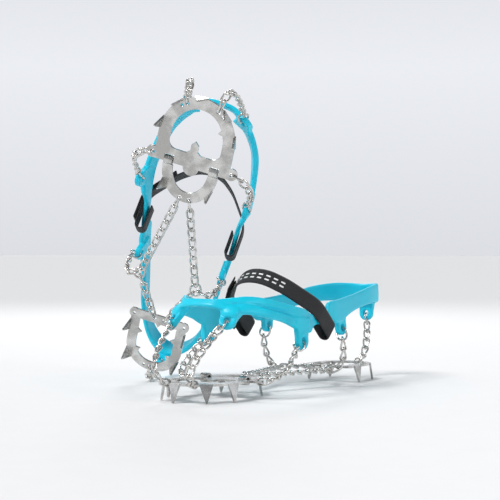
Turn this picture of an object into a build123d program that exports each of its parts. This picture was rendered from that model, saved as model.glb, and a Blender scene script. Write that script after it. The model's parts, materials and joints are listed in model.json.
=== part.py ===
from build123d import *
import copy
import math
import os

# A pair of shoe ice cleats, in millimetres. Each cleat is drawn in its own frame, as it is worn:
# X to the wearer's right, Y to the toe, Z up, with the spike tips at z = 0.
# Cleat A stands on its spikes. Cleat B stands on its heel beside A's toes and leans over them,
# its spikes outwards.

# Plates
SHEET = 2.0
SPIKE_HEIGHT = 15.0
SPIKE_BASE = 12.5
SPIKE_TIP = 0.5
SPIKE_SPLAY = 2.5
PLATE_Z = SPIKE_HEIGHT + SHEET / 2
HOLE_RADIUS = 2.2
SPARE_HOLE_RADIUS = 1.6
TOOTH_BASE = 7.0
TOOTH_HEIGHT = 4.0
TRIM = 60.0

RING_ROUND_Y = 108.0
RING_HALF_WIDTH = 36.5
RING_ROUND_RY = 42.0
RING_BAND = 11.5
CROSSBAR_LOW = 80.0
CROSSBAR_HIGH = 94.0
LUG_X = 38.5
LUG_Y = 85.5
LUG_RADIUS = 6.0
TOE_HOLE = (15.0, 141.4)
TOE_SPARE_HOLE = (19.6, 137.8)
RING_BOSS_RADIUS = 7.5
RING_CORNER = 8.0
RING_TOOTH_ANGLE = 152.0
RING_SPIKE_ANGLES = (85, 131, 49, 168, 12)
PRONG_FOOT = 8.0
PRONG_HALF = 3.6
PRONG_SHOULDER = 3.0
PRONG_LENGTH = 13.0

HINGE_Y = 82.0
HINGE_X = 22.0
HINGE_BORE = 2.6
HINGE_RADIUS = 4.4
HINGE_WIDTH = 8.0
HINGE_ARM = 3.0
HINGE_SLOT = 3.4
HINGE_SLOT_OFFSET = 3.7
HINGE_SLOT_PLAY = 1.2

HALF_RING_Y = 77.6
HALF_RING_RX = 27.0
HALF_RING_RY = 33.0
HALF_RING_BAND = 10.0
ARCH_HOLE_X = 4.6
ARCH_HOLE_Y = 48.4
HALF_RING_SPIKE_ANGLES = (216, 324)
HALF_RING_SPIKE_BASE = 11.0
EDGE_INSET = 0.6

HEEL_FRONT_Y = -82.0
HEEL_ROUND_Y = -118.0
HEEL_HALF_WIDTH = 28.5
HEEL_ROUND_RY = 28.0
HEEL_BAND = 9.5
HEEL_HOLE_X = 5.2
HEEL_HOLE_Y = -86.2
BACK_HOLE_Y = -142.0
BACK_SPARE_HOLE = (6.4, -141.2)
HEEL_CORNER_RADIUS = 5.4
HEEL_CORNER_INSET = 3.0
HEEL_CORNER_Y = -87.0
HEEL_CORNER_HOLE_INSET = 2.6
HEEL_TOOTH_Y = -106.0
HEEL_REAR_TOOTH = (16.2, -126.5, 6.0, 3.4)
HEEL_SPIKE_Y = -101.0
HEEL_SPIKE_ANGLES = (212, 328)

# Chains
WIRE = 2.0
LINK_WIDTH = 8.0
LINK_SLACK = 1.0
JUNCTION_WIDTH = 12.0
EAR_LINK_WIDTH = 11.6
JUNCTION = (30.0, -47.0, PLATE_Z)
JUNCTION_HOOK = 1.5

# Harness
EAR_THICKNESS = 4.8
EAR_HOLE = 3.0
STRAP_WIDTH = 18.0
STRAP_THICKNESS = 1.6
STRAP_FOOT = (0.0, -5.0, 67.0)
STRAP_TILT = 44.0
WAIST_X = 46.5
EAR_ROOTS = {"a": (27, 113, 82), "b": (52.5, 38, 72), "c": (43, -45, 74), "d": (0, -161, 84)}
EAR_WIDTHS = {"a": 14.0, "b": 15.0, "c": 14.0, "d": 14.0}

# Cleat B's place: its turn about the upright, its lean, its roll and where its heel stands.
B_TURN = 20.0
B_LEAN = -24.0
B_ROLL = 19.0
B_PLACE = (69.6, 75.8)

SIDES = {"left": -1, "right": 1}


def plate(outline, *cuts):
    """A flat plate of the sheet's thickness, from an outline and the sketches cut from it."""
    for cut in cuts:
        outline = outline - cut
    return Pos(0, 0, SPIKE_HEIGHT) * extrude(outline, amount=SHEET)


def hole(x, y, radius=HOLE_RADIUS):
    return Pos(x, y) * Circle(radius)


def spike(x, y, heading, base=SPIKE_BASE):
    """A triangle cut from the sheet and bent down. Its flat face looks along heading, in degrees."""
    half = base / 2
    drop = SPIKE_HEIGHT + SHEET
    points = [(-half, 0), (half, 0), (SPIKE_TIP, -drop), (-SPIKE_TIP, -drop)]
    lean = math.degrees(math.atan2(SPIKE_SPLAY, drop))
    blade = extrude(Plane.XZ * make_face(Polyline(*points, close=True)), amount=SHEET / 2, both=True)
    blade = Rot(X=lean) * blade
    blade = Pos(x, y, drop) * Rot(Z=heading - 90) * blade
    floor = Pos(x, y, -TRIM / 2) * Box(TRIM, TRIM, TRIM)
    roof = Pos(x, y, drop + TRIM / 2) * Box(TRIM, TRIM, TRIM)
    return blade - floor - roof


def tooth(x, y, heading, base=TOOTH_BASE, height=TOOTH_HEIGHT):
    """A small pointed tooth of the outline, standing on its base at (x, y)."""
    triangle = make_face(Polyline((-1, -base / 2), (height, 0), (-1, base / 2), close=True))
    return Pos(x, y) * Rot(Z=heading) * triangle


def on_ellipse(centre_y, rx, ry, angle):
    """A point of an ellipse and the direction of its outward normal, for an angle in degrees."""
    c = math.cos(math.radians(angle))
    s = math.sin(math.radians(angle))
    heading = math.degrees(math.atan2(s / ry, c / rx))
    return rx * c, centre_y + ry * s, heading


def rounded_end(centre_y, half, ry, straight_y):
    """A rectangle from straight_y to centre_y that ends in half an ellipse."""
    middle = (centre_y + straight_y) / 2
    straight = Pos(0, middle) * Rectangle(2 * half, abs(centre_y - straight_y))
    return straight + Pos(0, centre_y) * Ellipse(half, ry)


def below(y):
    """Everything below y on a plate's outline."""
    return Pos(0, y - TRIM) * Rectangle(2 * TRIM, 2 * TRIM)


def toe_ring():
    inner_half = RING_HALF_WIDTH - RING_BAND
    inner_ry = RING_ROUND_RY - RING_BAND
    outline = rounded_end(RING_ROUND_Y, RING_HALF_WIDTH, RING_ROUND_RY, CROSSBAR_LOW)
    outline -= below(CROSSBAR_LOW)
    opening = rounded_end(RING_ROUND_Y, inner_half, inner_ry, CROSSBAR_HIGH)
    opening -= below(CROSSBAR_HIGH)
    opening = fillet(opening.vertices().sort_by(Axis.Y)[:2], RING_CORNER)
    x, y, heading = on_ellipse(RING_ROUND_Y, inner_half, inner_ry, RING_TOOTH_ANGLE)
    opening -= tooth(x, y, heading + 180)
    prong = [(-PRONG_FOOT, -1.0), (-PRONG_HALF, PRONG_SHOULDER), (-PRONG_HALF, PRONG_LENGTH - 4)]
    prong += [(0, PRONG_LENGTH)]
    prong += [(-x, y) for x, y in reversed(prong[:-1])]
    outline -= opening
    outline += Pos(0, CROSSBAR_HIGH) * make_face(Polyline(*prong, close=True))
    outline += Pos(0, CROSSBAR_LOW) * Circle(RING_BOSS_RADIUS)
    slot = Rectangle(HINGE_WIDTH + HINGE_SLOT_PLAY, HINGE_SLOT)
    cuts = []
    for side in SIDES.values():
        outline += Pos(side * LUG_X, LUG_Y) * Circle(LUG_RADIUS)
        cuts.append(hole(side * LUG_X, LUG_Y))
        cuts.append(Pos(side * HINGE_X, HINGE_Y + HINGE_SLOT_OFFSET) * slot)
        cuts.append(hole(side * TOE_HOLE[0], TOE_HOLE[1]))
        cuts.append(hole(side * TOE_SPARE_HOLE[0], TOE_SPARE_HOLE[1], SPARE_HOLE_RADIUS))
    body = plate(outline, *cuts)
    edge = (RING_HALF_WIDTH - EDGE_INSET, RING_ROUND_RY - EDGE_INSET)
    for angle in RING_SPIKE_ANGLES:
        x, y, heading = on_ellipse(RING_ROUND_Y, *edge, angle)
        body += spike(x, y, heading)
    return body


def half_ring():
    outer = Pos(0, HALF_RING_Y) * Ellipse(HALF_RING_RX, HALF_RING_RY)
    inner = Pos(0, HALF_RING_Y)
    inner *= Ellipse(HALF_RING_RX - HALF_RING_BAND, HALF_RING_RY - HALF_RING_BAND)
    above = Pos(0, HALF_RING_Y + TRIM) * Rectangle(2 * TRIM, 2 * TRIM)
    holes = [hole(side * ARCH_HOLE_X, ARCH_HOLE_Y) for side in SIDES.values()]
    body = plate(outer - inner - above, *holes)
    for side in SIDES.values():
        sleeve = Cylinder(HINGE_RADIUS, HINGE_WIDTH) - Cylinder(HINGE_BORE, 2 * HINGE_WIDTH)
        body += Pos(side * HINGE_X, HINGE_Y, PLATE_Z) * Rot(Y=90) * sleeve
        arm = Box(HINGE_WIDTH, HINGE_ARM, SHEET)
        body += Pos(side * HINGE_X, HINGE_Y - HINGE_RADIUS - 0.4, PLATE_Z) * arm
    edge = (HALF_RING_RX - EDGE_INSET, HALF_RING_RY - EDGE_INSET)
    for angle in HALF_RING_SPIKE_ANGLES:
        x, y, heading = on_ellipse(HALF_RING_Y, *edge, angle)
        body += spike(x, y, heading, HALF_RING_SPIKE_BASE)
    return body


def heel_outline(inset):
    half = HEEL_HALF_WIDTH - inset
    top = HEEL_FRONT_Y - inset
    straight = Pos(0, (top + HEEL_ROUND_Y) / 2) * Rectangle(2 * half, top - HEEL_ROUND_Y)
    rear = Pos(0, HEEL_ROUND_Y) * Ellipse(half, HEEL_ROUND_RY - inset)
    return straight + rear


def heel_plate():
    opening = heel_outline(HEEL_BAND)
    inner_x = HEEL_HALF_WIDTH - HEEL_BAND
    opening -= tooth(-inner_x, HEEL_TOOTH_Y, 0)
    opening -= tooth(inner_x, HEEL_TOOTH_Y, 180)
    opening -= tooth(0, HEEL_FRONT_Y - HEEL_BAND, -90)
    x, y, base, height = HEEL_REAR_TOOTH
    for side in SIDES.values():
        opening -= tooth(side * x, y, 90 + side * 60, base, height)
    outline = heel_outline(0)
    cuts = [opening, hole(0, BACK_HOLE_Y)]
    for side in SIDES.values():
        corner = Pos(side * (HEEL_HALF_WIDTH - HEEL_CORNER_INSET), HEEL_CORNER_Y)
        outline += corner * Circle(HEEL_CORNER_RADIUS)
        hole_x = HEEL_HALF_WIDTH - HEEL_CORNER_HOLE_INSET
        cuts.append(hole(side * HEEL_HOLE_X, HEEL_HOLE_Y))
        cuts.append(hole(side * hole_x, HEEL_CORNER_Y, SPARE_HOLE_RADIUS))
        cuts.append(hole(side * BACK_SPARE_HOLE[0], BACK_SPARE_HOLE[1], SPARE_HOLE_RADIUS))
    body = plate(outline, *cuts)
    for side in SIDES.values():
        heading = 0 if side > 0 else 180
        body += spike(side * (HEEL_HALF_WIDTH - EDGE_INSET), HEEL_SPIKE_Y, heading)
    edge = (HEEL_HALF_WIDTH - EDGE_INSET, HEEL_ROUND_RY - EDGE_INSET)
    for angle in HEEL_SPIKE_ANGLES:
        x, y, heading = on_ellipse(HEEL_ROUND_Y, *edge, angle)
        body += spike(x, y, heading)
    return body


def link(start, end, normal, width=LINK_WIDTH):
    """An oval link between two contact points, its plane holding the normal."""
    along = end - start
    inner = along.length + LINK_SLACK
    radius = (width - WIRE) / 2
    centres = inner + WIRE - 2 * radius
    path = SlotCenterToCenter(centres, 2 * radius).wire()
    section = Plane(path @ 0, z_dir=path % 0) * Circle(WIRE / 2)
    ring = sweep(section, path=path)
    out = along.cross(normal).normalized()
    return Plane((start + end) / 2, x_dir=along.normalized(), z_dir=out) * ring


def chain(route, normals, count, last_width=LINK_WIDTH):
    """A run of links along a route. Every other link's plane holds the surface's normal."""
    line = Spline(*route) if len(route) > 2 else Line(*route)
    step = line.length / count
    spots = [line.position_at(step * i, position_mode=PositionMode.LENGTH) for i in range(count + 1)]
    looks = [Vector(*n).normalized() for n in normals]
    links = []
    for i in range(count):
        share = (i + 0.5) / count * (len(looks) - 1)
        low = min(int(share), len(looks) - 2)
        look = looks[low] + (looks[low + 1] - looks[low]) * (share - low)
        along = (spots[i + 1] - spots[i]).normalized()
        look = (look - along * look.dot(along)).normalized()
        if i % 2:
            look = along.cross(look)
        width = last_width if i == count - 1 else LINK_WIDTH
        links.append(link(spots[i], spots[i + 1], look, width))
    return Compound(children=links)


def hooked(centre, toward):
    """Where a link's inner end lies when its wire goes through a hole at the centre."""
    centre = Vector(*centre)
    way = (Vector(*toward) - centre).normalized()
    return tuple(centre + way * (WIRE / 2 + LINK_SLACK / 2))


# The ears' holes on the wearer's right, and the way each ear's face looks
EARS = {
    "a": ((29.5, 117.0, 70.0), (0.40, 0.62, 0.67)),
    "b": ((54.0, 38.0, 50.0), (1.0, 0.0, 0.05)),
    "c": ((43.5, -45.0, 58.0), (1.0, 0.0, 0.08)),
    "d": ((0.0, -165.4, 66.0), (0.0, -1.0, -0.1)),
}


def mirrored(values, side):
    return [(side * x, y, z) for x, y, z in values]


def chain_routes(side):
    """The routes of one side's chains, as start, middle points, end, normals and link count."""
    hook = JUNCTION_HOOK + WIRE / 2 + LINK_SLACK / 2
    arch_start = Vector(ARCH_HOLE_X, ARCH_HOLE_Y, PLATE_Z)
    arch_way = (Vector(*JUNCTION) - arch_start).normalized()
    middle = Vector(*JUNCTION) - arch_way * (JUNCTION_WIDTH / 2 - WIRE)
    heel_hole = Vector(HEEL_HOLE_X, HEEL_HOLE_Y, PLATE_Z)
    heel_way = (heel_hole - middle).normalized()
    down = (0, 0, -1)
    toe = (*TOE_HOLE, PLATE_Z)
    lug = (LUG_X, LUG_Y, PLATE_Z)
    ear = {name: place for name, (place, look) in EARS.items()}
    look = {name: way for name, (place, way) in EARS.items()}
    routes = {
        "toe_chain": (
            [hooked(toe, (17, 155, 16)), (18.5, 157, 25), (23, 150, 42),
             hooked(ear["a"], (27, 136, 56))],
            [down, (0.1, 0.6, -0.8), (0.2, 1.0, -0.1), (0.35, 0.9, 0.3), look["a"]], 9, EAR_LINK_WIDTH,
        ),
        "ball_chain": (
            [hooked(lug, (54, 81, 16)), (55, 76, 20), (58, 62, 31), hooked(ear["b"], (56, 47, 42))],
            [down, (0.8, 0.0, -0.6), look["b"]], 7, EAR_LINK_WIDTH,
        ),
        "arch_chain": (
            [hooked(tuple(arch_start), JUNCTION), JUNCTION], [down, down], 10, JUNCTION_WIDTH,
        ),
        "side_chain": (
            [tuple(middle + Vector(1, 0, 0) * hook), (39.5, -47, 18.5), (45.5, -46.5, 29),
             hooked(ear["c"], (44.5, -45.5, 44))],
            [down, (0.5, 0, -0.8), look["c"], look["c"]], 5, EAR_LINK_WIDTH,
        ),
        "heel_chain": (
            [tuple(middle + heel_way * hook), hooked(tuple(heel_hole), tuple(middle))],
            [down, down], 5, LINK_WIDTH,
        ),
    }
    return {
        name: (mirrored(route, side), mirrored(normals, side), count, last)
        for name, (route, normals, count, last) in routes.items()
    }


def back_route():
    start = (0, BACK_HOLE_Y, PLATE_Z)
    end = EARS["d"][0]
    return [hooked(start, (0, -158, 16)), (0, -157, 20), (0, -165, 36), hooked(end, (0, -163.8, 50))]


def back_chain():
    normals = [(0, 0, -1), (0, -0.8, -0.6), EARS["d"][1]]
    return chain(back_route(), normals, 7, last_width=EAR_LINK_WIDTH)


# The harness's stations on the wearer's right: centre, the way its width runs, width, thickness
STATIONS = [
    ((0, 121, 86), (0, -0.70, 0.71), 9.0, 5.0),
    ((14, 119, 85.5), (0.1, -0.70, 0.70), 9.5, 5.0),
    ((25, 112, 84), (-0.3, -0.55, 0.78), 14.0, 5.4),
    ((36, 99, 83), (-0.45, -0.3, 0.84), 17.0, 5.6),
    ((45, 82, 82.5), (-0.4, 0, 0.92), 19.0, 5.6),
    ((50, 60, 80), (-0.3, 0, 0.95), 19.0, 5.4),
    ((52, 44, 76), (-0.2, 0, 0.98), 21.0, 5.4),
    ((51, 31, 73), (-0.15, 0, 0.98), 21.0, 5.2),
    ((47.5, 19, 68), (-0.1, 0, 1), 10.5, 4.6),
    ((46, -23, 68.5), (-0.1, 0, 1), 10.5, 4.6),
    ((45, -35, 73), (-0.1, 0, 1), 22.0, 5.0),
    ((42.5, -47, 75), (-0.1, 0, 1), 20.0, 5.0),
    ((38.5, -80, 82), (-0.08, 0, 1), 15.5, 4.8),
    ((34, -115, 87), (-0.05, 0, 1), 16.5, 4.8),
    ((25, -143, 88), (0, 0.05, 1), 19.0, 4.8),
    ((13, -157, 87), (0, 0.1, 1), 21.0, 5.0),
    ((0, -161, 86.5), (0, 0.12, 1), 21.5, 5.2),
]


def station_face(index):
    centre, wide, width, thickness = STATIONS[index]
    before = Vector(*STATIONS[max(index - 1, 0)][0])
    after = Vector(*STATIONS[min(index + 1, len(STATIONS) - 1)][0])
    tangent = (after - before).normalized()
    if index in (0, len(STATIONS) - 1):
        tangent = Vector(1 if index == 0 else -1, 0, 0)
    wide = Vector(*wide)
    wide = (wide - tangent * wide.dot(tangent)).normalized()
    return Plane(Vector(*centre), x_dir=wide, z_dir=tangent) * Rectangle(width, thickness)


def ear(place, look, root, width):
    """A flat loop of the harness from the root point down round its hole."""
    place, look, root = Vector(*place), Vector(*look).normalized(), Vector(*root)
    up = root - place
    up = up - look * up.dot(look)
    reach = up.length
    up = up.normalized()
    body = Rectangle(width, reach, align=(Align.CENTER, Align.MIN)) + Circle(width / 2)
    body -= Circle(EAR_HOLE)
    frame = Plane(place, x_dir=up.cross(look), z_dir=look)
    return frame * extrude(body, amount=EAR_THICKNESS / 2, both=True)


def harness():
    faces = [station_face(i) for i in range(len(STATIONS))]
    half = loft(faces, ruled=True)
    body = half + mirror(half, about=Plane.YZ)
    for name in ("a", "b", "c"):
        for side in SIDES.values():
            body += ear(*mirrored([*EARS[name], EAR_ROOTS[name]], side), EAR_WIDTHS[name])
    return body + ear(*EARS["d"], EAR_ROOTS["d"], EAR_WIDTHS["d"])


# The strap's own plane: x across the foot, y up and forwards over the instep
STRAP_PLANE = Plane(
    STRAP_FOOT, x_dir=(1, 0, 0), z_dir=Vector(0, -1, 0).rotate(Axis.X, STRAP_TILT - 90)
)
STRAP_GAP = 0.3
LOOP_INNER = WAIST_X - 4.4
LOOP_OUTER = WAIST_X + 5.0
LOOP_FOOT = -18.5
TAIL_FOOT = -9.0


def ribbon(points, radii, thickness, width=STRAP_WIDTH):
    """A flat ribbon of the width, centred on a line of straight runs and arcs."""
    line = FilletPolyline(*points, radius=radii) if radii else Polyline(*points)
    section = Plane(line @ 0, x_dir=(0, 0, 1), z_dir=line % 0) * Rectangle(width, thickness)
    return STRAP_PLANE * sweep(section, path=line)


def strap():
    half = [(LOOP_INNER, 7), (LOOP_INNER, LOOP_FOOT), (LOOP_OUTER, LOOP_FOOT), (LOOP_OUTER, 17)]
    half += [(29, 46), (11, 60)]
    points = half + [(-x, y) for x, y in reversed(half)]
    return ribbon(points, [4.3, 4.3, 16, 24, 14, 14, 24, 16, 4.3, 4.3], STRAP_THICKNESS)


def strap_tail():
    out = 2 * (STRAP_THICKNESS + STRAP_GAP)
    points = [(LOOP_OUTER + out, TAIL_FOOT), (LOOP_OUTER + out, 18), (31.5, 49)]
    return ribbon(points, 20, STRAP_THICKNESS)


def hook_patch():
    out = STRAP_THICKNESS + STRAP_GAP
    start = Vector(LOOP_OUTER + out, 17.5)
    end = Vector(30, 47.8)
    way = (end - start).normalized()
    return ribbon([start + way * 14, end - way * 4], None, STRAP_THICKNESS, STRAP_WIDTH - 2)


def cleat():
    """The solids of one cleat by node name."""
    nodes = {
        "harness": harness(),
        "strap": strap(),
        "strap_tail": strap_tail(),
        "hook_patch": hook_patch(),
        "toe_ring_plate": toe_ring(),
        "half_ring_plate": half_ring(),
        "heel_plate": heel_plate(),
        "back_chain": back_chain(),
    }
    for side_name, side in SIDES.items():
        for name, (route, normals, count, last) in chain_routes(side).items():
            nodes[f"{name}_{side_name}"] = chain(route, normals, count, last_width=last)
    return nodes


def place_b():
    """Where cleat B stands: on its heel, its spikes looking ahead of cleat A's left side."""
    turn = math.radians(B_TURN)
    lean = math.radians(B_LEAN)
    ahead = Vector(-math.sin(turn), math.cos(turn), 0)
    upright = Vector(0, 0, 1)
    spikes = ahead * math.cos(lean) + upright * math.sin(lean)
    toe = upright * math.cos(lean) - ahead * math.sin(lean)
    frame = Plane((*B_PLACE, 0), x_dir=toe.cross(-spikes), z_dir=-spikes)
    return frame.location * Rot(Z=B_ROLL)


def pair():
    """Every node of the two cleats, standing on the floor about the origin."""
    nodes = {}
    solids = cleat()
    lowest = min(solid.moved(place_b()).bounding_box().min.Z for solid in solids.values())
    places = {"a": Location(), "b": Pos(0, 0, -lowest) * place_b()}
    for letter, place in places.items():
        for name, solid in solids.items():
            nodes[f"{name}_{letter}"] = solid.moved(place)
    box = Compound(children=[copy.copy(solid) for solid in nodes.values()]).bounding_box()
    shift = Pos(-box.center().X, -box.center().Y, -box.min.Z)
    places = {letter: shift * place for letter, place in places.items()}
    return {name: solid.moved(shift) for name, solid in nodes.items()}, places


if __name__ == "__main__":
    os.makedirs("parts", exist_ok=True)
    for name, solid in pair()[0].items():
        export_step(solid, f"parts/{name}.step")
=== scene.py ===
import json
import math

import bmesh
import bpy
import numpy as np
from mathutils import Matrix, Vector


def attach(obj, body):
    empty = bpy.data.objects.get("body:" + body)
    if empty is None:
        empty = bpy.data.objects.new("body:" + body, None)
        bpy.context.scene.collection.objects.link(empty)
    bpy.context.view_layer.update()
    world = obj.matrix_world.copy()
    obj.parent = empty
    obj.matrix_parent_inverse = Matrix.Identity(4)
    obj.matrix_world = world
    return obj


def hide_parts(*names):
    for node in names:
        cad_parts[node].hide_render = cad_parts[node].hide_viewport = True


# A pair of shoe ice cleats. Lengths below are millimetres in a cleat's own frame, as in its CAD:
# X to the wearer's right, Y to the toe, Z up from the spike tips. MM turns them into metres.
MM = 0.001
SHEET_TOP = 17.0
WIRE = 2.0
TURN = 2 * math.pi

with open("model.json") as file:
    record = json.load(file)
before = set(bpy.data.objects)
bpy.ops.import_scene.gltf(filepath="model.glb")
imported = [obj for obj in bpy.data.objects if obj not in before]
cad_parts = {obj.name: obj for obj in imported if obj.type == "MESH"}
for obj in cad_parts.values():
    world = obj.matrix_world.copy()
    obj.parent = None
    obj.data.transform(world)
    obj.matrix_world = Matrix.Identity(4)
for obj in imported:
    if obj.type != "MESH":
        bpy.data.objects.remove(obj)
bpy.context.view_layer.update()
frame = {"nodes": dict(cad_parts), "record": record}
record = frame["record"]
LETTERS = ("a", "b")
SIDES = {"left": -1, "right": 1}


def cleat_matrix(letter):
    """The frame of one cleat, from its shoe seat and its half ring's hinge."""
    seat = next(m for m in record["mounts"] if m["name"] == f"shoe_seat_{letter}")
    hinge = next(j for j in record["behaviour"]["joints"] if j["name"] == f"half_ring_hinge_{letter}")
    z = Vector(seat["axis"]).normalized()
    x = Vector(hinge["axis"])
    x = (x - z * x.dot(z)).normalized()
    turn = Matrix((x, z.cross(x), z)).transposed().to_4x4()
    place = Vector(seat["pos_m"]) - z * SHEET_TOP * MM
    return Matrix.Translation(place) @ turn @ Matrix.Scale(MM, 4)


CLEAT = {letter: cleat_matrix(letter) for letter in LETTERS}


# Node helpers

def new_material(name):
    material = bpy.data.materials.new(name)
    material.use_nodes = True
    tree = material.node_tree
    return material, tree, tree.nodes["Principled BSDF"]


def add_node(tree, kind, **values):
    node = tree.nodes.new(kind)
    for key, value in values.items():
        setattr(node, key, value)
    return node


def noise(tree, scale, detail, roughness=0.55):
    """Noise over the piece's own coordinates, its scale one number or one along each axis."""
    coordinates = add_node(tree, "ShaderNodeTexCoord")
    mapping = add_node(tree, "ShaderNodeMapping")
    node = add_node(tree, "ShaderNodeTexNoise")
    node.inputs["Detail"].default_value = detail
    node.inputs["Roughness"].default_value = roughness
    if isinstance(scale, tuple):
        mapping.inputs["Scale"].default_value = scale
        node.inputs["Scale"].default_value = 1.0
    else:
        node.inputs["Scale"].default_value = scale
    tree.links.new(coordinates.outputs["Object"], mapping.inputs["Vector"])
    tree.links.new(mapping.outputs["Vector"], node.inputs["Vector"])
    return node.outputs["Fac"]


def spread(tree, value, source, target=(0, 1)):
    """The value, taken from the source range to the target range and held inside it."""
    node = add_node(tree, "ShaderNodeMapRange")
    for name, number in zip(("From Min", "From Max", "To Min", "To Max"), (*source, *target)):
        node.inputs[name].default_value = number
    tree.links.new(value, node.inputs["Value"])
    return node.outputs["Result"]


def blend_colours(tree, factor, first, second):
    node = add_node(tree, "ShaderNodeMix", data_type="RGBA")
    node.inputs["A"].default_value = (*first, 1)
    node.inputs["B"].default_value = (*second, 1)
    tree.links.new(factor, node.inputs["Factor"])
    return node.outputs["Result"]


def add_bump(tree, shader, height, strength, distance):
    """Bumps from a height, as deep as the distance in metres."""
    bump = add_node(tree, "ShaderNodeBump")
    bump.inputs["Strength"].default_value = strength
    bump.inputs["Distance"].default_value = distance
    tree.links.new(height, bump.inputs["Height"])
    tree.links.new(bump.outputs["Normal"], shader.inputs["Normal"])


def combine(tree, operation, first, second=0):
    """Arithmetic on two values, each a socket or a number. SINE and ABSOLUTE use only the first."""
    node = add_node(tree, "ShaderNodeMath", operation=operation)
    for socket, value in zip(node.inputs, (first, second)):
        if isinstance(value, (int, float)):
            socket.default_value = value
        else:
            tree.links.new(value, socket)
    return node.outputs[0]


# Materials

PLATE_DARK = (0.43, 0.425, 0.41)
PLATE_LIGHT = (0.66, 0.655, 0.64)
WIRE_LIGHT = (0.74, 0.72, 0.69)
WIRE_DARK = (0.50, 0.48, 0.45)
RUBBER_DEEP = (0.0, 0.56, 0.76)
RUBBER_BRIGHT = (0.0, 0.64, 0.83)
PRINT_WHITE = (0.86, 0.86, 0.85)
PRINT_WORN = (0.62, 0.62, 0.62)


def plate_steel():
    """Stainless sheet with a fine tumbled grain, faint brushing and small scuffs."""
    material, tree, shader = new_material("plate_steel")
    grain = noise(tree, scale=900, detail=3)
    brushing = noise(tree, scale=(2400, 160, 160), detail=3)
    clouds = noise(tree, scale=60, detail=4)
    scuffs = noise(tree, scale=260, detail=6, roughness=0.7)
    colour = blend_colours(tree, spread(tree, clouds, (0.42, 0.60)), PLATE_DARK, PLATE_LIGHT)
    tree.links.new(colour, shader.inputs["Base Color"])
    sheen = spread(tree, clouds, (0.3, 0.7), (0.17, 0.30))
    wear = spread(tree, scuffs, (0.5, 0.75), (0.0, 0.16))
    tree.links.new(combine(tree, "ADD", sheen, wear), shader.inputs["Roughness"])
    shader.inputs["Metallic"].default_value = 1.0
    height = combine(tree, "ADD", grain, combine(tree, "MULTIPLY", brushing, 0.8))
    height = combine(tree, "ADD", height, combine(tree, "MULTIPLY", scuffs, 0.6))
    add_bump(tree, shader, height, strength=0.45, distance=0.08 * MM)
    return material


def chain_steel():
    """Bright drawn wire with soft draw marks and slightly darker patches."""
    material, tree, shader = new_material("chain_steel")
    marks = noise(tree, scale=700, detail=4)
    patches = noise(tree, scale=110, detail=3)
    colour = blend_colours(tree, spread(tree, patches, (0.35, 0.7)), WIRE_LIGHT, WIRE_DARK)
    tree.links.new(colour, shader.inputs["Base Color"])
    tree.links.new(spread(tree, marks, (0.3, 0.7), (0.13, 0.27)), shader.inputs["Roughness"])
    shader.inputs["Metallic"].default_value = 1.0
    add_bump(tree, shader, marks, strength=0.25, distance=0.06 * MM)
    return material


def harness_rubber():
    """Satin moulded elastomer with a fine skin texture and a soft sheen."""
    material, tree, shader = new_material("harness_rubber")
    skin = noise(tree, scale=1100, detail=3)
    flow = noise(tree, scale=26, detail=4)
    dust = noise(tree, scale=320, detail=6, roughness=0.75)
    colour = blend_colours(tree, spread(tree, flow, (0.35, 0.65)), RUBBER_DEEP, RUBBER_BRIGHT)
    tree.links.new(colour, shader.inputs["Base Color"])
    satin = spread(tree, flow, (0.3, 0.7), (0.34, 0.44))
    dull = spread(tree, dust, (0.5, 0.75), (0.0, 0.14))
    tree.links.new(combine(tree, "ADD", satin, dull), shader.inputs["Roughness"])
    shader.inputs["Subsurface Weight"].default_value = 0.08
    shader.inputs["Subsurface Radius"].default_value = (0.4 * MM, 1.2 * MM, 1.6 * MM)
    shader.inputs["Specular IOR Level"].default_value = 0.5
    height = combine(tree, "ADD", skin, combine(tree, "MULTIPLY", dust, 0.5))
    add_bump(tree, shader, height, strength=0.3, distance=0.06 * MM)
    return material


def weave(name, dark, light, across, along, depth):
    """Woven tape, its colour painted darker in the gaps between threads as painted shade and lighter on the
    thread crowns, with random fibre tone from fine fuzz. The mesh's UV runs across the tape in U and along
    it in V, both in millimetres.
    """
    material, tree, shader = new_material(name)
    uv = add_node(tree, "ShaderNodeUVMap")
    split = add_node(tree, "ShaderNodeSeparateXYZ")
    tree.links.new(uv.outputs["UV"], split.inputs["Vector"])
    rib = combine(tree, "SINE", combine(tree, "MULTIPLY", split.outputs["X"], TURN / across))
    pick_phase = combine(tree, "MULTIPLY", split.outputs["Y"], TURN / along)
    shift = combine(tree, "MULTIPLY", split.outputs["X"], math.pi / across)
    pick = combine(tree, "SINE", combine(tree, "ADD", pick_phase, shift))
    thread = combine(tree, "MULTIPLY", combine(tree, "ABSOLUTE", pick), combine(tree, "ABSOLUTE", rib))
    fuzz = noise(tree, scale=1500, detail=4, roughness=0.7)
    height = combine(tree, "ADD", thread, combine(tree, "MULTIPLY", fuzz, 0.5))
    # The colour follows the weave's height: painted shade in the gaps between threads, lighter thread
    # crowns, and random fibre tone from the fuzz.
    factor = spread(tree, height, (0.2, 1.1))
    tree.links.new(blend_colours(tree, factor, dark, light), shader.inputs["Base Color"])
    tree.links.new(spread(tree, fuzz, (0.3, 0.7), (0.62, 0.85)), shader.inputs["Roughness"])
    shader.inputs["Sheen Weight"].default_value = 0.08
    shader.inputs["Sheen Roughness"].default_value = 0.5
    add_bump(tree, shader, height, strength=0.7, distance=depth)
    return material


def white_print():
    """Slightly worn white transfer print."""
    material, tree, shader = new_material("white_print")
    wear = noise(tree, scale=900, detail=5, roughness=0.7)
    colour = blend_colours(tree, spread(tree, wear, (0.45, 0.7)), PRINT_WHITE, PRINT_WORN)
    tree.links.new(colour, shader.inputs["Base Color"])
    tree.links.new(spread(tree, wear, (0.3, 0.7), (0.4, 0.6)), shader.inputs["Roughness"])
    add_bump(tree, shader, wear, strength=0.4, distance=0.05 * MM)
    return material


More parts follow.
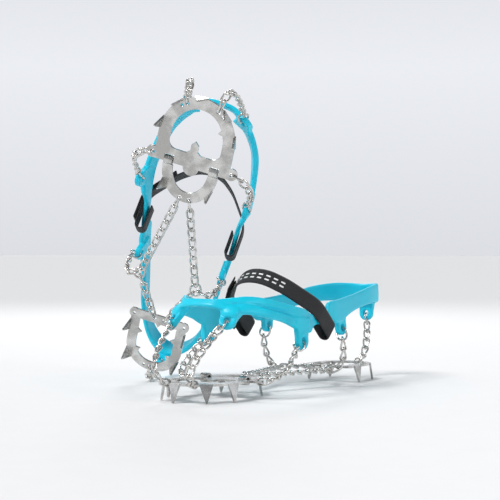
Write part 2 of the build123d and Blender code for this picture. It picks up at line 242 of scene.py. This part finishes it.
STEEL = plate_steel()
CHAIN = chain_steel()
RUBBER = harness_rubber()
# Each tape's dark colour is the painted shade in the gaps between its threads, and its light colour is the
# lighter thread crowns.
WEBBING = weave("webbing", dark=(0.004, 0.004, 0.005), light=(0.022, 0.022, 0.024),
                across=1.5, along=1.1, depth=0.25 * MM)
HOOK_TAPE = weave("hook_tape", dark=(0.004, 0.004, 0.004), light=(0.028, 0.028, 0.03),
                  across=0.9, along=0.9, depth=0.3 * MM)
PRINT = white_print()


# Mesh helpers

def make_object(name, vertices, faces, material, matrix, smooth=True):
    mesh = bpy.data.meshes.new(name)
    mesh.from_pydata([tuple(matrix @ Vector(v)) for v in vertices], [], faces)
    mesh.materials.append(material)
    mesh.validate()
    if smooth:
        mesh.polygons.foreach_set("use_smooth", [True] * len(mesh.polygons))
    obj = bpy.data.objects.new(name, mesh)
    bpy.context.scene.collection.objects.link(obj)
    return obj


def loop_faces(rings, size, closed, start=0):
    """Quads between neighbouring rings of the same size, and caps if the run of rings is open."""
    faces = []
    last = rings if closed else rings - 1
    for i in range(last):
        a = start + i * size
        b = start + ((i + 1) % rings) * size
        for j in range(size):
            k = (j + 1) % size
            faces.append((a + j, a + k, b + k, b + j))
    if not closed:
        faces.append(tuple(range(start + size - 1, start - 1, -1)))
        faces.append(tuple(start + (rings - 1) * size + j for j in range(size)))
    return faces


def apply_modifiers(obj):
    """Bakes the modifiers into the mesh."""
    graph = bpy.context.evaluated_depsgraph_get()
    mesh = bpy.data.meshes.new_from_object(obj.evaluated_get(graph))
    old = obj.data
    obj.modifiers.clear()
    obj.data = mesh
    bpy.data.meshes.remove(old)


# Chains: every CAD link is read for its place, and a twisted link is drawn there

LINK_STEPS = 56
WIRE_SIDES = 12
WELD = 1e-6
TWIST_START = math.radians(45)
TWIST_END = math.radians(135)


def islands(node):
    """The separate links of a CAD chain, each as an array of points, in their order."""
    mesh = node.data
    links = bmesh.new()
    links.from_mesh(mesh)
    bmesh.ops.remove_doubles(links, verts=links.verts, dist=WELD)
    links.verts.ensure_lookup_table()
    seen = set()
    found = []
    for vertex in links.verts:
        if vertex.index in seen:
            continue
        group = []
        stack = [vertex]
        seen.add(vertex.index)
        while stack:
            here = stack.pop()
            group.append(tuple(node.matrix_world @ here.co))
            for edge in here.link_edges:
                other = edge.other_vert(here)
                if other.index not in seen:
                    seen.add(other.index)
                    stack.append(other)
        found.append(np.array(group))
    links.free()
    return found


def link_frame(points):
    """Centre, long direction, wide direction, outer length and outer width of one oval link."""
    low, high = points.min(0), points.max(0)
    centre = (low + high) / 2
    values, vectors = np.linalg.eigh(np.cov((points - points.mean(0)).T))
    along, wide = vectors[:, 2], vectors[:, 1]
    reach = (points - centre) @ along
    width = (points - centre) @ wide
    centre = centre + along * (reach.max() + reach.min()) / 2 + wide * (width.max() + width.min()) / 2
    return centre, along, wide, np.ptp(reach), np.ptp(width)


def in_order(frames, start):
    """The links' frames from the chain's start on, each facing the way the chain runs."""
    rest = list(frames)
    here = np.array(start)
    ordered = []
    while rest:
        nearest = min(range(len(rest)), key=lambda i: np.linalg.norm(rest[i][0] - here))
        centre, along, wide, length, width = rest.pop(nearest)
        if along @ (centre - here) < 0:
            along = -along
        ordered.append((centre, along, wide, length, width))
        here = centre
    return ordered


def twisted_link(centre, along, look, length, width, start_angle, end_angle):
    """Rings of points of an oval wire link whose plane turns from one end to the other."""
    side = np.cross(along, look)
    radius = width / 2 - WIRE * MM / 2
    half = length / 2 - WIRE * MM / 2
    straight = half - radius
    runs = 2 * straight
    arc = math.pi * radius
    total = 2 * (runs + arc)
    spine = []
    for i in range(LINK_STEPS):
        s = total * i / LINK_STEPS
        if s < runs:
            a, b = -straight + s, radius
        elif s < runs + arc:
            turn = (s - runs) / radius
            a, b = straight + radius * math.sin(turn), radius * math.cos(turn)
        elif s < 2 * runs + arc:
            a, b = straight - (s - runs - arc), -radius
        else:
            turn = (s - 2 * runs - arc) / radius
            a, b = -straight - radius * math.sin(turn), -radius * math.cos(turn)
        share = (a / half + 1) / 2
        angle = start_angle + (end_angle - start_angle) * share
        out = look * math.cos(angle) + side * math.sin(angle)
        spine.append(centre + along * a + out * b)
    spine = np.array(spine)
    tangents = np.roll(spine, -1, 0) - np.roll(spine, 1, 0)
    tangents /= np.linalg.norm(tangents, axis=1)[:, None]
    rings = []
    for point, tangent in zip(spine, tangents):
        out = point - centre
        out = out - tangent * (out @ tangent)
        out /= np.linalg.norm(out)
        bend = np.cross(tangent, out)
        for j in range(WIRE_SIDES):
            turn = TURN * j / WIRE_SIDES
            rings.append(point + (out * math.cos(turn) + bend * math.sin(turn)) * WIRE * MM / 2)
    return rings


def build_chain(name, letter, start, last_angle):
    """A chain of twisted links in the places of the CAD links, as one piece. It starts upright."""
    node_name = f"{name}_{letter}"
    node = frame["nodes"][node_name]
    frames = in_order([link_frame(p) for p in islands(node)], CLEAT[letter] @ Vector(start))
    vertices, faces = [], []
    look = None
    for index, (centre, along, wide, length, width) in enumerate(frames):
        guess = wide if index % 2 == 0 else np.cross(wide, along)
        if look is not None and guess @ look < 0:
            guess = -guess
        look = guess
        start_angle = math.pi if index == 0 else TWIST_START
        end_angle = last_angle if index == len(frames) - 1 else TWIST_END
        faces += loop_faces(LINK_STEPS, WIRE_SIDES, True, len(vertices))
        vertices += twisted_link(centre, along, look, length, width, start_angle, end_angle)
    piece = make_object(f"{node_name}_links", vertices, faces, CHAIN, Matrix())
    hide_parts(node_name)
    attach(piece, node_name)


# Where each chain starts, and how its last link stands to the surface: 0 upright, 90 degrees flat
CHAIN_ENDS = {
    "toe_chain": ((15, 141, 16), 0.0),
    "ball_chain": ((38.5, 85.5, 16), 0.0),
    "arch_chain": ((4.6, 48.4, 16), 90.0),
    "side_chain": ((28, -47, 16), 0.0),
    "heel_chain": ((28, -47, 16), 0.0),
}
BACK_CHAIN_START = (0, -142, 16)


# Harness: stations on the wearer's right, as centre, the way its width runs, its reach above and
# below the centre, its thickness and the depth of its middle groove
STATIONS = [
    ((0, 121, 86), (0, -0.70, 0.71), 4.4, 4.4, 4.6, 0),
    ((14, 119.5, 85.5), (0.1, -0.70, 0.70), 4.6, 4.6, 4.8, 0),
    ((22, 114.5, 84.5), (-0.15, -0.62, 0.76), 6.0, 6.0, 5.2, 0),
    ((29, 107, 83.5), (-0.3, -0.5, 0.80), 8.0, 8.5, 5.6, 1.6),
    ((37, 97, 83.5), (-0.42, -0.25, 0.86), 8.8, 8.6, 5.6, 0.6),
    ((45, 82, 81.0), (-0.4, 0, 0.92), 9.2, 9.2, 5.6, 2.5),
    ((49.5, 62, 76.6), (-0.3, 0, 0.95), 9.2, 9.4, 5.4, 2.5),
    ((51.5, 47, 73.0), (-0.2, 0, 0.98), 9.2, 11.4, 5.4, 0.6),
    ((51.8, 36, 71.2), (-0.18, 0, 0.98), 9.0, 12.4, 5.3, 0),
    ((51, 27, 69.6), (-0.15, 0, 0.98), 8.2, 12.4, 5.2, 0),
    ((49.5, 20, 68.6), (-0.12, 0, 0.98), 6.4, 12.4, 5.0, 0),
    ((48.3, 14, 68.3), (-0.1, 0, 1), 5.3, 8.0, 4.8, 0),
    ((47.3, 6, 68.3), (-0.1, 0, 1), 5.2, 5.4, 4.6, 0),
    ((46.6, -10, 68.3), (-0.1, 0, 1), 5.2, 5.2, 4.6, 0),
    ((46.1, -18, 69), (-0.1, 0, 1), 7.5, 5.2, 4.7, 0),
    ((45.6, -24, 71), (-0.1, 0, 1), 12.5, 6.5, 4.8, 0),
    ((45, -31, 72.5), (-0.1, 0, 1), 12.0, 10.5, 5.0, 0),
    ((43.4, -43, 75), (-0.1, 0, 1), 10.4, 11.0, 5.0, 0),
    ((41, -60, 78.5), (-0.1, 0, 1), 8.8, 9.0, 5.0, 0),
    ((38.2, -82, 82.3), (-0.08, 0, 1), 7.8, 7.8, 4.8, 0),
    ((34.2, -115, 87), (-0.05, 0, 1), 8.6, 8.4, 4.8, 0),
    ((26.2, -141, 88.5), (0, 0.05, 1), 9.8, 9.2, 4.8, 0),
    ((14, -156, 87.5), (0, 0.1, 1), 10.6, 10.2, 5.0, 0),
    ((0, -161, 86.5), (0, 0.12, 1), 10.8, 10.8, 5.2, 0),
]
STATION_STEPS = 9
GROOVE_HALF = 1.9
CORNER = 1.9
OUTSIDE_POINTS = 27
INSIDE_POINTS = 9
BAND_MIDDLE = np.array([0, -20, 0])


def closed_stations():
    """Both sides' stations as one closed run of rows: x, y, z, width's way, up, low, thick, groove."""
    right = [[*c, *w, up, low, thick, groove] for c, w, up, low, thick, groove in STATIONS]
    left = [[-row[0], row[1], row[2], -row[3], *row[4:]] for row in reversed(right[1:-1])]
    return np.array(right + left, float)


def smooth_run(rows, steps):
    """A closed Catmull-Rom run through the rows."""
    out = []
    count = len(rows)
    for i in range(count):
        a, b, c, d = (rows[(i + k - 1) % count] for k in range(4))
        for j in range(steps):
            t = j / steps
            out.append(0.5 * (2 * b + (c - a) * t + (2 * a - 5 * b + 4 * c - d) * t ** 2
                              + (3 * b - a - 3 * c + d) * t ** 3))
    return np.array(out)


def corner_points(centre, radius, angles):
    """A rounded corner's points, at angles in degrees from outwards round to the upper edge."""
    turns = [math.radians(angle) for angle in angles]
    return [(centre[0] + radius * math.sin(t), centre[1] + radius * math.cos(t)) for t in turns]


def band_profile(up, low, thick, groove):
    """The band's outline as (along the width, outwards), with rounded corners and a groove outside."""
    half = thick / 2
    corner = min(CORNER, half * 0.9)
    middle = (up - low) / 2
    top = up - corner
    bottom = corner - low
    outside = []
    for u in np.linspace(bottom, top, OUTSIDE_POINTS):
        dip = max(0.0, 1 - (abs(u - middle) / GROOVE_HALF) ** 4)
        outside.append((u, half - groove * dip))
    return [
        *outside,
        *corner_points((top, half - corner), corner, (30, 60)),
        (up, 0.0),
        *corner_points((top, corner - half), corner, (120, 150)),
        *((u, -half) for u in np.linspace(top, bottom, INSIDE_POINTS)),
        *corner_points((bottom, corner - half), corner, (210, 240)),
        (-low, 0.0),
        *corner_points((bottom, half - corner), corner, (300, 330)),
    ]


def band():
    """Vertices and faces of the harness's band, all the way round."""
    rows = smooth_run(closed_stations(), STATION_STEPS)
    centres = rows[:, :3]
    tangents = np.roll(centres, -1, 0) - np.roll(centres, 1, 0)
    tangents /= np.linalg.norm(tangents, axis=1)[:, None]
    vertices = []
    size = 0
    for row, tangent in zip(rows, tangents):
        wide = row[3:6] - tangent * (row[3:6] @ tangent)
        wide /= np.linalg.norm(wide)
        out = np.cross(wide, tangent)
        if out @ ((row[:3] - BAND_MIDDLE) * (1, 1, 0)) < 0:
            out = -out
        profile = band_profile(row[6], row[7], row[8], max(row[9], 0))
        size = len(profile)
        vertices += [row[:3] + wide * u + out * v for u, v in profile]
    return vertices, loop_faces(len(rows), size, True)


# The ears on the wearer's right: hole's place, the way the face looks, root, width, thickness
EARS = {
    "a": ((29.5, 117.0, 70.0), (0.40, 0.62, 0.67), (28.5, 109, 83), 15.0, 5.6),
    "b": ((54.0, 38.0, 50.0), (1.0, 0.0, 0.05), (52.5, 37, 71), 16.0, 5.6),
    "c": ((43.5, -45.0, 58.0), (1.0, 0.0, 0.08), (43.2, -43, 76), 14.5, 5.4),
}
REAR_EAR = ((0.0, -165.4, 66.0), (0.0, -1.0, -0.1), (0, -161, 86), 15.0, 5.4)
EAR_STEPS = 64
EAR_FLARE = 0.55
EAR_HOLE = 3.0
EAR_HOLE_STRETCH = 1.15

# The oval rim round the hole of ear b, and the boss above ear a
RIM_STEPS = 32
RIM_SIDES = 10
RIM_RADIUS = 5.0
RIM_WIRE = 1.1
RIM_STRETCH = 1.35
RIM_SUNK = 0.3
BOSS_RADII = (9.0, 7.0, 3.8)
BOSS_RISE = 0.62
BOSS_OUT = 1.2

VOXEL = 0.72 * MM
SOFTEN_FACTOR = 0.5
SOFTEN_ROUNDS = 8


def ear_axes(look, rise):
    """An ear's unit axes: across it, up towards the band, and out of its face."""
    look = np.array(look, float) / np.linalg.norm(look)
    rise = np.array(rise, float)
    rise -= look * (rise @ look)
    rise /= np.linalg.norm(rise)
    return np.cross(rise, look), rise, look


def ear_slab(place, look, root, width, thick):
    """A flat loop from the band down round its hole, flared where it joins the band."""
    reach_line = np.array(root, float) - place
    side, rise, look = ear_axes(look, reach_line)
    reach = reach_line @ rise
    outline = []
    for i in range(EAR_STEPS):
        turn = TURN * (i + 0.5) / EAR_STEPS
        c, s = math.cos(turn), math.sin(turn)
        size = width / 2
        if s > 0:
            size = min(width / 2 / max(abs(c), 1e-6), reach / s)
        height = max(s * size, 0) / reach
        outline.append((c * size * (1 + EAR_FLARE * height ** 2), s * size, c, s))
    vertices = []
    for outer, depth in ((False, thick / 2), (True, thick / 2), (True, -thick / 2), (False, -thick / 2)):
        for x, y, c, s in outline:
            across = x if outer else c * EAR_HOLE
            height = y if outer else s * EAR_HOLE * EAR_HOLE_STRETCH
            vertices.append(place + side * across + rise * height + look * depth)
    return vertices, loop_faces(4, EAR_STEPS, True)


def blob(centre, radii, axes):
    """A rounded lump, as the vertices and faces of an ellipsoid along the three axes."""
    shape = bmesh.new()
    bmesh.ops.create_icosphere(shape, subdivisions=3, radius=1.0)
    vertices = []
    for vertex in shape.verts:
        offset = sum(axis * radius * x for axis, radius, x in zip(axes, radii, vertex.co))
        vertices.append(centre + offset)
    faces = [tuple(v.index for v in face.verts) for face in shape.faces]
    shape.free()
    return vertices, faces


def rim(place, axes):
    """A raised oval rim round a hole."""
    side, rise, look = axes
    vertices = []
    for i in range(RIM_STEPS):
        turn = TURN * i / RIM_STEPS
        out = side * math.cos(turn) + rise * math.sin(turn) * RIM_STRETCH
        for j in range(RIM_SIDES):
            bend = TURN * j / RIM_SIDES
            reach = RIM_RADIUS + RIM_WIRE * math.cos(bend)
            vertices.append(place + out * reach + look * RIM_WIRE * math.sin(bend))
    return vertices, loop_faces(RIM_STEPS, RIM_SIDES, True)


def mirrored(point, side):
    return (side * point[0], point[1], point[2])


def harness_shapes():
    """The closed shapes that the harness is moulded from."""
    yield band()
    for side in SIDES.values():
        for name, (*spots, width, thick) in EARS.items():
            place, look, root = (np.array(mirrored(spot, side), float) for spot in spots)
            yield ear_slab(place, look, root, width, thick)
            axes = ear_axes(look, root - place)
            if name == "a":
                yield blob(place + (root - place) * BOSS_RISE + look * BOSS_OUT, BOSS_RADII, axes)
            if name == "b":
                yield rim(place + look * (thick / 2 - RIM_SUNK), axes)
    yield ear_slab(*REAR_EAR)


def build_harness(letter):
    """The band, ears, bosses and rims melted into one rounded moulding."""
    vertices, faces = [], []
    for shape_vertices, shape_faces in harness_shapes():
        start = len(vertices)
        vertices += list(shape_vertices)
        faces += [tuple(start + i for i in face) for face in shape_faces]
    piece = make_object(f"harness_{letter}_moulding", vertices, faces, RUBBER, CLEAT[letter])
    repair = bmesh.new()
    repair.from_mesh(piece.data)
    bmesh.ops.recalc_face_normals(repair, faces=repair.faces)
    repair.to_mesh(piece.data)
    repair.free()
    remesh = piece.modifiers.new("mould", "REMESH")
    remesh.mode = "VOXEL"
    remesh.voxel_size = VOXEL
    remesh.use_smooth_shade = True
    smooth = piece.modifiers.new("soften", "SMOOTH")
    smooth.factor = SOFTEN_FACTOR
    smooth.iterations = SOFTEN_ROUNDS
    apply_modifiers(piece)
    if not piece.data.materials:
        piece.data.materials.append(RUBBER)
    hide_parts(f"harness_{letter}")
    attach(piece, f"cleat_{letter}")


# Strap: a line in its own inclined plane, x across the foot and s up and forwards over the instep
STRAP_FOOT = Vector((0.0, -5.0, 67.0))
STRAP_TILT = math.radians(44)
STRAP_WIDTH = 18.0
STRAP_THICKNESS = 1.6
STRAP_GAP = 0.3
LOOP_INNER = 42.1
LOOP_OUTER = 51.5
LOOP_FOOT = -18.5
LOOP_FOLD = 4.3
TAIL_OUT = 2 * (STRAP_THICKNESS + STRAP_GAP)
TAIL_CORNER = 20
PATCH_WIDTH = STRAP_WIDTH - 2
TAPE_COLUMNS = 12
SELVEDGE_POWER = 9
LINE_STEP = 1.2
STRAP_RISE = Vector((0, math.cos(STRAP_TILT), math.sin(STRAP_TILT)))
STRAP_ACROSS = Vector((0, math.sin(STRAP_TILT), -math.cos(STRAP_TILT)))


def strap_point(flat, across):
    """A point of the strap's plane, moved across it, in the cleat's frame."""
    return STRAP_FOOT + Vector((flat.x, 0, 0)) + STRAP_RISE * flat.y + STRAP_ACROSS * across


def arc_line(points, radii):
    """Straight runs joined by arcs, as evenly dense points."""
    points = [Vector(p) for p in points]
    out = [points[0]]
    for before, corner, after, radius in zip(points, points[1:], points[2:], radii):
        a = (before - corner).normalized()
        b = (after - corner).normalized()
        half = a.angle(b) / 2
        reach = radius / math.tan(half)
        middle = corner + (a + b).normalized() * radius / math.sin(half)
        first = corner + a * reach - middle
        last = corner + b * reach - middle
        sweep = first.angle(last)
        count = max(int(sweep * radius / LINE_STEP), 4)
        for i in range(count + 1):
            share = i / count
            out.append(middle + (first * math.sin((1 - share) * sweep) + last * math.sin(share * sweep))
                       / math.sin(sweep))
    out.append(points[-1])
    dense = [out[0]]
    for a, b in zip(out, out[1:]):
        count = max(int((b - a).length / LINE_STEP), 1)
        dense += [a + (b - a) * (i + 1) / count for i in range(count)]
    return dense


def ribbon(name, line, width, material, matrix):
    """A tape along a line of its plane, with rounded selvedges and UVs in millimetres."""
    sections = []
    for k in range(TAPE_COLUMNS + 1):
        across = -1 + 2 * k / TAPE_COLUMNS
        sections.append((across * width / 2, STRAP_THICKNESS / 2 * (1 - abs(across) ** SELVEDGE_POWER)))
    profile = sections + [(u, -v) for u, v in reversed(sections[1:-1])]
    vertices, uvs = [], []
    travelled = 0.0
    for i, point in enumerate(line):
        before = line[max(i - 1, 0)]
        after = line[min(i + 1, len(line) - 1)]
        tangent = (after - before).normalized()
        out = Vector((tangent.y, -tangent.x))
        travelled += (point - before).length
        for u, v in profile:
            vertices.append(strap_point(point + out * v, u))
            uvs.append((u, travelled))
    faces = loop_faces(len(line), len(profile), False)
    piece = make_object(name, vertices, faces, material, matrix)
    layer = piece.data.uv_layers.new(name="UVMap")
    for loop in piece.data.loops:
        layer.data[loop.index].uv = uvs[loop.vertex_index]
    return piece


def strap_lines():
    """The lines of the strap, its tail and the hook patch, each from its lower end."""
    half = [(LOOP_INNER, 7), (LOOP_INNER, LOOP_FOOT), (LOOP_OUTER, LOOP_FOOT), (LOOP_OUTER, 17)]
    half += [(29, 46), (11, 60)]
    radii = [LOOP_FOLD, LOOP_FOLD, 30, 60, 30]
    points = half + [(-x, y) for x, y in reversed(half)]
    strap = arc_line(points, radii + radii[::-1])
    out = LOOP_OUTER + TAIL_OUT
    tail = arc_line([(out, -9), (out, 18), (31.5, 49)], [TAIL_CORNER])
    start = Vector((LOOP_OUTER + TAIL_OUT / 2, 17.5))
    end = Vector((30, 47.8))
    way = (end - start).normalized()
    patch = arc_line([start + way * 14, end - way * 4], [])
    return strap, tail, patch


BAR_COUNT = 9
BAR_PITCH = 7.5
BAR_LENGTH = 4.2
BAR_HALF_WIDTH = 0.8
BAR_ROW = 2.2
BAR_DEPTH = 0.12
BAR_SUNK = 0.02


def along_line(line, distance):
    """The point at a distance along a line, and the line's outward direction there."""
    travelled = 0.0
    for a, b in zip(line, line[1:]):
        run = (b - a).length
        if travelled + run >= distance:
            tangent = (b - a).normalized()
            return a + tangent * (distance - travelled), Vector((tangent.y, -tangent.x))
        travelled += run
    return None


def print_bars(line, matrix, name):
    """Two plain rows of short raised bars on the strap's outside over the instep."""
    vertices, faces = [], []
    middle = sum((b - a).length for a, b in zip(line, line[1:])) / 2
    for k in range(BAR_COUNT):
        for row in (-BAR_ROW, BAR_ROW):
            start = middle + (k - (BAR_COUNT - 1) / 2) * BAR_PITCH - BAR_LENGTH / 2
            first = len(vertices)
            for share in (0, 0.5, 1):
                point, out = along_line(line, start + share * BAR_LENGTH)
                for u, v in ((-1, 0), (1, 0), (1, 1), (-1, 1)):
                    flat = point + out * (STRAP_THICKNESS / 2 - BAR_SUNK + v * BAR_DEPTH)
                    vertices.append(strap_point(flat, row + u * BAR_HALF_WIDTH))
            faces += loop_faces(3, 4, False, first)
    return make_object(name, vertices, faces, PRINT, matrix, smooth=False)


def build_strap(letter):
    """The strap, its tail, the hook patch and the printed bars."""
    matrix = CLEAT[letter]
    strap_line, tail_line, patch_line = strap_lines()
    strap = ribbon(f"strap_{letter}_webbing", strap_line, STRAP_WIDTH, WEBBING, matrix)
    tail = ribbon(f"strap_tail_{letter}_webbing", tail_line, STRAP_WIDTH, WEBBING, matrix)
    patch = ribbon(f"hook_patch_{letter}_tape", patch_line, PATCH_WIDTH, HOOK_TAPE, matrix)
    for piece, node, body, slot in (
        (strap, "strap", "cleat", "webbing"),
        (tail, "strap_tail", "strap_tail", "webbing"),
        (patch, "hook_patch", "strap_tail", "hook_tape"),
    ):
        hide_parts(f"{node}_{letter}")
        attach(piece, f"{body}_{letter}")
    marks = print_bars(strap_line, matrix, f"strap_{letter}_print")
    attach(marks, f"cleat_{letter}")


EDGE_BEVEL = 0.28 * MM
EDGE_ANGLE = math.radians(38)


def finish_plates(letter):
    """Steel and softened edges on the CAD plates."""
    for name in ("toe_ring_plate", "half_ring_plate", "heel_plate"):
        node = frame["nodes"][f"{name}_{letter}"]
        for slot in node.material_slots:
            slot.material = STEEL
        bevel = node.modifiers.new("edges", "BEVEL")
        bevel.width = EDGE_BEVEL
        bevel.segments = 2
        bevel.limit_method = "ANGLE"
        bevel.angle_limit = EDGE_ANGLE


for letter in LETTERS:
    build_harness(letter)
    build_strap(letter)
    finish_plates(letter)
    for name, (start, last_angle) in CHAIN_ENDS.items():
        for side_name, side in SIDES.items():
            build_chain(f"{name}_{side_name}", letter, mirrored(start, side), math.radians(last_angle))
    build_chain("back_chain", letter, BACK_CHAIN_START, 0.0)


# Studio

# Metres, and degrees turned into radians. The aim is the middle of the picture from cleat A's origin.
FLOOR_REACH = 40.0
LIT_POINT = Vector((0, 0, 0.12))
AZIMUTH = math.radians(215)
ELEVATION = math.radians(6)
DISTANCE = 1.25
AIM_RIGHT = -0.026
AIM_UP = 0.1334
LENS = 93.6
SKY_COLOUR = (0.93, 0.95, 1.0, 1)
SKY_STRENGTH = 0.9


def make_floor():
    """A pale paper floor that runs out to the horizon."""
    mesh = bpy.data.meshes.new("floor")
    corners = [(x * FLOOR_REACH, y * FLOOR_REACH, 0) for x, y in ((-1, -1), (1, -1), (1, 1), (-1, 1))]
    mesh.from_pydata(corners, [], [(0, 1, 2, 3)])
    floor = bpy.data.objects.new("floor", mesh)
    bpy.context.scene.collection.objects.link(floor)
    material, tree, shader = new_material("floor_paper")
    paper = noise(tree, scale=40, detail=3)
    colour = blend_colours(tree, paper, (0.86, 0.86, 0.86), (0.89, 0.89, 0.89))
    tree.links.new(colour, shader.inputs["Base Color"])
    shader.inputs["Roughness"].default_value = 0.75
    mesh.materials.append(material)


def place_light(name, data, place):
    """A light at a place, turned to the middle of the pair."""
    light = bpy.data.objects.new(name, data)
    light.location = place
    light.rotation_euler = (LIT_POINT - light.location).to_track_quat("-Z", "Y").to_euler()
    bpy.context.scene.collection.objects.link(light)


def add_panel(name, place, size, power):
    data = bpy.data.lights.new(name, "AREA")
    data.shape = "DISK"
    data.size = size
    data.energy = power
    place_light(name, data, place)


def add_soft_sun(place, power, spread_angle):
    data = bpy.data.lights.new("key", "SUN")
    data.energy = power
    data.angle = math.radians(spread_angle)
    place_light("key", data, place)


def make_camera():
    """A low camera at the height of the worn cleat, turned up towards the middle of the pair."""
    back = Vector((math.sin(AZIMUTH) * math.cos(ELEVATION), -math.cos(AZIMUTH) * math.cos(ELEVATION),
                   math.sin(ELEVATION)))
    right = Vector((math.cos(AZIMUTH), math.sin(AZIMUTH), 0))
    origin = CLEAT["a"].translation
    aim = origin + right * AIM_RIGHT + back.cross(right) * AIM_UP
    data = bpy.data.cameras.new("camera")
    data.lens = LENS
    camera = bpy.data.objects.new("camera", data)
    camera.location = origin + back * DISTANCE
    camera.rotation_euler = (aim - camera.location).to_track_quat("-Z", "Y").to_euler()
    bpy.context.scene.collection.objects.link(camera)
    bpy.context.scene.camera = camera


def world_light(tree):
    """A pale horizon under a darker ceiling, and a darker side in front, which the steel mirrors."""
    coordinates = add_node(tree, "ShaderNodeTexCoord")
    split = add_node(tree, "ShaderNodeSeparateXYZ")
    tree.links.new(coordinates.outputs["Generated"], split.inputs["Vector"])
    horizon = spread(tree, split.outputs["Z"], (0.0, 0.14), (0.86, 1.0))
    ceiling = combine(tree, "MULTIPLY", horizon, spread(tree, split.outputs["Z"], (0.14, 0.75), (1.0, 0.25)))
    front = combine(tree, "ADD", combine(tree, "MULTIPLY", split.outputs["X"], math.sin(AZIMUTH)),
                    combine(tree, "MULTIPLY", split.outputs["Y"], -math.cos(AZIMUTH)))
    return combine(tree, "MULTIPLY", ceiling, spread(tree, front, (0.2, 0.9), (1.0, 0.5)))


def make_studio():
    """The world, a soft sun and two panels."""
    scene = bpy.context.scene
    scene.view_settings.view_transform = "Standard"
    world = bpy.data.worlds.new("studio")
    scene.world = world
    world.use_nodes = True
    background = world.node_tree.nodes["Background"]
    background.inputs["Color"].default_value = SKY_COLOUR
    strength = combine(world.node_tree, "MULTIPLY", world_light(world.node_tree), SKY_STRENGTH)
    world.node_tree.links.new(strength, background.inputs["Strength"])
    add_soft_sun((0.5, 1.3, 1.9), power=2.3, spread_angle=24)
    add_panel("side", (-1.5, 0.1, 0.8), size=0.35, power=4)
    add_panel("rim", (0.9, -1.1, 1.2), size=0.5, power=7)


make_floor()
make_studio()
make_camera()
